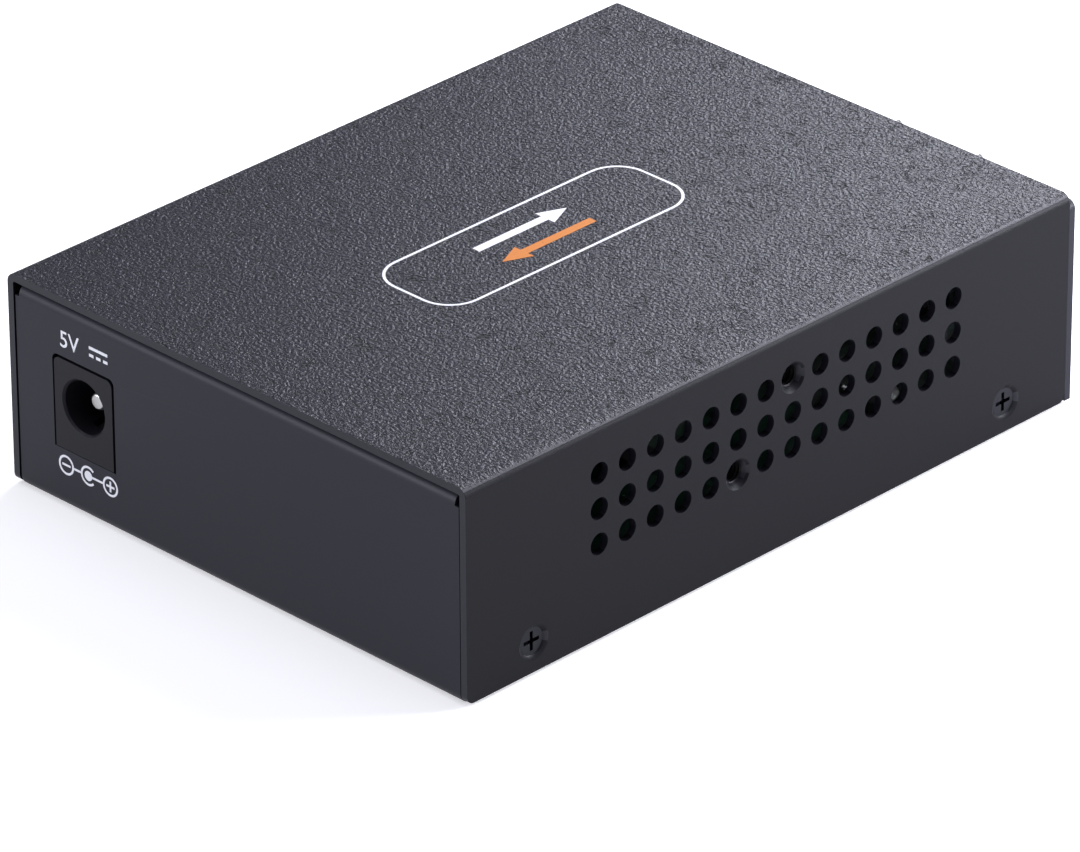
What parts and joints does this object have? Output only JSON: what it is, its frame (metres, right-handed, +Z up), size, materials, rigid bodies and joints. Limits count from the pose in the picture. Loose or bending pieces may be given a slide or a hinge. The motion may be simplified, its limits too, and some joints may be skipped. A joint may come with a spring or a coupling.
{
  "type": "fibre media converter",
  "caption": "Stand-alone fibre media converter: vented folded steel box with a power socket, a network socket and a pull-out optical module with a swing bail.",
  "frame": {"origin": "centre of the box's flat bottom", "axes": "+Z up, +Y towards the rear with the power socket, -Y towards the front with the network socket and the optical module, +X to the right seen from the front"},
  "size_m": [0.07, 0.1059, 0.0261],
  "materials": {
    "cover_paint": "wrinkle powder coat on the top, satin on the sides",
    "tray_paint": "satin powder coat",
    "black_screw": "black oxide",
    "zinc_steel": "zinc plated",
    "socket_black": "moulded, fine texture",
    "pin_silver": "nickel plated",
    "contact_gold": "gold plated",
    "shield_nickel": "nickel plated sheet",
    "board_green": "solder resist over glass laminate",
    "chip_black": "moulded epoxy",
    "choke_grey": "ferrite",
    "can_silver": "drawn can",
    "lamp_white": "lamp body",
    "clear_guide": "clear moulded rod",
    "module_zinc": "nickel plated die casting",
    "receptacle": "turned metal sleeve",
    "label_white": "bare label",
    "grip_blue": "soft moulded sleeve"
  },
  "bodies": {
    "chassis": {"base_tray": "tray_paint", "top_cover": "cover_paint", "cover_screws": "black_screw", "board_standoffs": "zinc_steel", "board_screws": "zinc_steel", "main_board": "board_green", "dc_jack_housing": "socket_black", "dc_jack_pin": "pin_silver", "dc_jack_contacts": "pin_silver", "rj45_shield": "shield_nickel", "rj45_housing": "socket_black", "rj45_contacts": "contact_gold", "sfp_cage": "shield_nickel", "cage_gasket": "shield_nickel", "host_connector": "socket_black", "host_contacts": "contact_gold", "network_chip": "chip_black", "lan_transformer": "chip_black", "crystal": "can_silver", "power_inductor": "choke_grey", "electrolytic_capacitors": "can_silver", "voltage_regulator": "chip_black", "flash_chip": "chip_black", "status_leds": "lamp_white", "light_guides": "clear_guide"},
    "module": {"module_shell": "module_zinc", "module_nose": "module_zinc", "emi_collar": "module_zinc", "module_board": "board_green", "laser_barrel": "receptacle", "detector_barrel": "receptacle", "label_plate": "label_white"},
    "bail": {"bail_wire": "module_zinc", "bail_grip": "grip_blue"},
    "latch": {"latch_lever": "module_zinc"}
  },
  "joints": [
    {"name": "module_slide", "type": "slide", "parent": "chassis", "child": "module", "axis": [0, -1, 0], "range_m": [0, 0.047]},
    {"name": "bail_hinge", "type": "hinge", "parent": "module", "child": "bail", "pos_m": [-0.005, -0.0563, 0.0085], "axis": [1, 0, 0], "range_deg": [0, 90]},
    {"name": "latch_hinge", "type": "hinge", "parent": "module", "child": "latch", "pos_m": [-0.005, -0.0503, 0.00825], "axis": [1, 0, 0], "range_deg": [0, 5.4]}
  ],
  "couplings": [
    {"joint": "latch_hinge", "follows": "bail_hinge", "ratio": 0.06}
  ]
}
